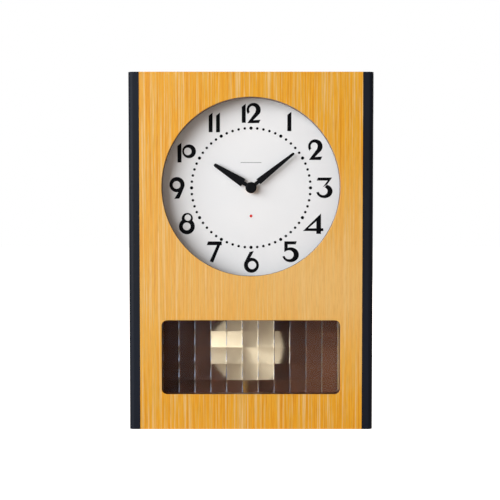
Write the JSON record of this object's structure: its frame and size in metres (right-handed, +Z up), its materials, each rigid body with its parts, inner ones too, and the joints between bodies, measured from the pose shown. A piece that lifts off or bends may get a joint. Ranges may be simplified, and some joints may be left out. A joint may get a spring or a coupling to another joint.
{
  "type": "mantel clock",
  "caption": "Rectangular pendulum clock: open round dial over a wide patterned-glass window with a round bob, hinged door in the back, keyhole hanger.",
  "frame": {"origin": "middle of the underside of the case, where it stands", "axes": "+Z up, -Y out of the front (dial side), +X to the right seen from the front"},
  "size_m": [0.243, 0.084, 0.355],
  "materials": {
    "veneer": "orange-yellow straight-grained veneer, clear satin lacquer",
    "black_lacquer": "black satin lacquer on wood",
    "softwood": "plain unfinished softwood",
    "hardboard": "brown hardboard, smooth outside",
    "patterned_glass": "clear fluted glass",
    "dial_white": "matt white print ground",
    "hand_black": "matt black",
    "dark_spacer": "black fibreboard",
    "bob_gold": "pale champagne gold, fine turned brushing",
    "brass": "plain brass",
    "steel": "zinc-plated steel",
    "case_plastic": "dark grey moulded plastic",
    "gear_plastic": "natural acetal",
    "knob_plastic": "grey moulded plastic",
    "board_green": "green circuit board",
    "copper_wire": "enamelled copper winding",
    "magnet": "sintered ferrite",
    "battery_label": "plain coloured sleeve, no print"
  },
  "bodies": {
    "case": {"front_panel": "veneer", "side_panel_left": "black_lacquer", "side_panel_right": "black_lacquer", "top_panel": "black_lacquer", "bottom_panel": "black_lacquer", "hanging_rail": "softwood", "back_battens_side": "softwood", "back_batten_bottom": "softwood", "back_panel": "hardboard", "back_panel_screws": "steel", "hanger_plate": "steel", "hanger_screws": "steel", "door_hinge_fixed_leaves": "brass", "door_hinge_pins": "steel", "hinge_screws_panel": "brass", "turn_button_screw": "brass", "window_glass": "patterned_glass", "glass_batten_top": "softwood", "glass_batten_bottom": "softwood", "glass_battens_side": "softwood", "dial_spacer_ring": "dark_spacer", "dial_plate": "dial_white", "dial_screws": "steel", "movement_front_case": "case_plastic", "movement_rear_case": "case_plastic", "mounting_bush": "brass", "bush_washer": "brass", "bush_nut": "brass", "train_bridge": "gear_plastic", "stator": "steel", "coil_core": "steel", "motor_coil": "copper_wire", "circuit_board": "board_green", "quartz_crystal": "steel", "battery_contact_positive": "steel", "battery_contact_negative": "steel", "drive_coil": "copper_wire", "pendulum_pivot_pin": "steel"},
    "minute_group": {"minute_arbor": "brass", "minute_hand": "hand_black", "hand_cap": "hand_black"},
    "hour_group": {"hour_wheel": "gear_plastic", "hour_hand": "hand_black"},
    "minute_wheel_body": {"minute_wheel": "gear_plastic"},
    "set_knob_body": {"set_knob": "knob_plastic"},
    "centre_wheel_body": {"centre_wheel": "gear_plastic"},
    "third_wheel_body": {"third_wheel": "gear_plastic"},
    "seconds_wheel_body": {"seconds_wheel": "gear_plastic"},
    "intermediate_wheel_body": {"intermediate_wheel": "gear_plastic"},
    "rotor_body": {"rotor": "magnet"},
    "pendulum": {"pendulum_lever": "case_plastic", "lever_magnet": "magnet", "pendulum_rod": "steel", "pendulum_bob": "bob_gold"},
    "rating_nut_body": {"rating_nut": "brass"},
    "battery": {"battery_cell": "battery_label"},
    "door": {"back_door": "hardboard", "door_hinge_moving_leaves": "brass", "hinge_screws_door": "brass"},
    "turn_button_body": {"turn_button": "brass"}
  },
  "joints": [
    {"name": "minute_turn", "type": "hinge", "parent": "case", "child": "minute_group", "pos_m": [0, -0.028, 0.2416], "axis": [0, 1, 0], "continuous": true},
    {"name": "hour_turn", "type": "hinge", "parent": "case", "child": "hour_group", "pos_m": [0, -0.026, 0.2416], "axis": [0, 1, 0], "continuous": true},
    {"name": "minute_wheel_turn", "type": "hinge", "parent": "case", "child": "minute_wheel_body", "pos_m": [-0.014, -0.0168, 0.2416], "axis": [0, 1, 0], "continuous": true},
    {"name": "set_knob_turn", "type": "hinge", "parent": "case", "child": "set_knob_body", "pos_m": [-0.014, 0.004, 0.2276], "axis": [0, 1, 0], "continuous": true},
    {"name": "seconds_wheel_turn", "type": "hinge", "parent": "case", "child": "seconds_wheel_body", "pos_m": [-0.00883, -0.012, 0.2593], "axis": [0, 1, 0], "continuous": true},
    {"name": "third_wheel_turn", "type": "hinge", "parent": "case", "child": "third_wheel_body", "pos_m": [0, -0.0135, 0.2542], "axis": [0, 1, 0], "continuous": true},
    {"name": "centre_wheel_turn", "type": "hinge", "parent": "case", "child": "centre_wheel_body", "pos_m": [0, -0.0152, 0.2416], "axis": [0, 1, 0], "continuous": true},
    {"name": "intermediate_wheel_turn", "type": "hinge", "parent": "case", "child": "intermediate_wheel_body", "pos_m": [-0.01321, -0.0104, 0.26688], "axis": [0, 1, 0], "continuous": true},
    {"name": "rotor_turn", "type": "hinge", "parent": "case", "child": "rotor_body", "pos_m": [-0.01021, -0.0141, 0.27207], "axis": [0, 1, 0], "continuous": true},
    {"name": "pendulum_swing", "type": "hinge", "parent": "case", "child": "pendulum", "pos_m": [0, -0.0048, 0.2496], "axis": [0, 1, 0], "range_deg": [-7.5, 4.5]},
    {"name": "rating_nut_turn", "type": "hinge", "parent": "pendulum", "child": "rating_nut_body", "pos_m": [-0.00558, -0.0035, 0.03647], "axis": [0.0262, 0, 0.9997], "range_deg": [-180, 180]},
    {"name": "battery_slide", "type": "slide", "parent": "case", "child": "battery", "axis": [0, 1, 0], "range_m": [0, 0.018]},
    {"name": "door_swing", "type": "hinge", "parent": "case", "child": "door", "pos_m": [-0.09775, 0.0377, 0.165], "axis": [0, 0, 1], "range_deg": [0, 110]},
    {"name": "turn_button_turn", "type": "hinge", "parent": "case", "child": "turn_button_body", "pos_m": [0.1073, 0.0375, 0.165], "axis": [0, 1, 0], "range_deg": [0, 90]}
  ],
  "couplings": [
    {"joint": "hour_turn", "follows": "minute_turn", "ratio": 0.083333},
    {"joint": "minute_wheel_turn", "follows": "minute_turn", "ratio": -0.33333},
    {"joint": "set_knob_turn", "follows": "minute_turn", "ratio": 1},
    {"joint": "third_wheel_turn", "follows": "seconds_wheel_turn", "ratio": -0.13333},
    {"joint": "centre_wheel_turn", "follows": "seconds_wheel_turn", "ratio": 0.016667},
    {"joint": "intermediate_wheel_turn", "follows": "seconds_wheel_turn", "ratio": -6},
    {"joint": "rotor_turn", "follows": "seconds_wheel_turn", "ratio": 30}
  ]
}
